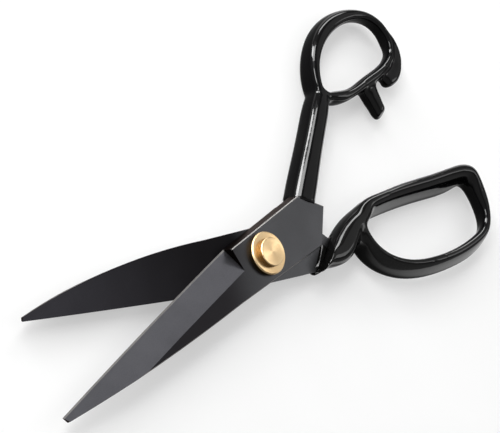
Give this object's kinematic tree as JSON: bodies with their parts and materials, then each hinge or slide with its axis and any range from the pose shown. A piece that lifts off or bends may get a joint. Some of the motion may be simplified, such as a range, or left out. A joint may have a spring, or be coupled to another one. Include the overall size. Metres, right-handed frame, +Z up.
{
  "type": "fabric shears",
  "caption": "Tailor's fabric shears: two black steel blades on a brass-nutted pivot, a long closed finger bow and a round thumb ring with a curled finger rest.",
  "frame": {"origin": "the pivot axis where it meets the surface that the shears lie on: the middle of the pivot bolt's round head, on its outer face", "axes": "+X runs from the pivot towards the handles, parallel to the rear blade, which points to -X; +Y is towards the open thumb ring; +Z is up along the pivot axis, towards the brass nuts"},
  "size_m": [0.2666, 0.132, 0.0157],
  "materials": {
    "blade_steel": "satin, with a dark grey coating over the steel",
    "black_enamel": "glossy black enamel over a smooth casting",
    "bolt_steel": "turned, bright",
    "nut_brass": "turned, polished"
  },
  "bodies": {
    "rear_half": {"rear_blade": "blade_steel", "finger_handle": "black_enamel", "pivot_bolt": "bolt_steel", "spring_washer": "bolt_steel", "adjusting_nut": "nut_brass", "lock_nut": "nut_brass"},
    "front_half": {"front_blade": "blade_steel", "thumb_handle": "black_enamel"}
  },
  "joints": [
    {"name": "blade_pivot", "type": "hinge", "parent": "rear_half", "child": "front_half", "pos_m": [0, 0, 0.009], "axis": [0, 0, 1], "range_deg": [-17.7, 118]}
  ]
}
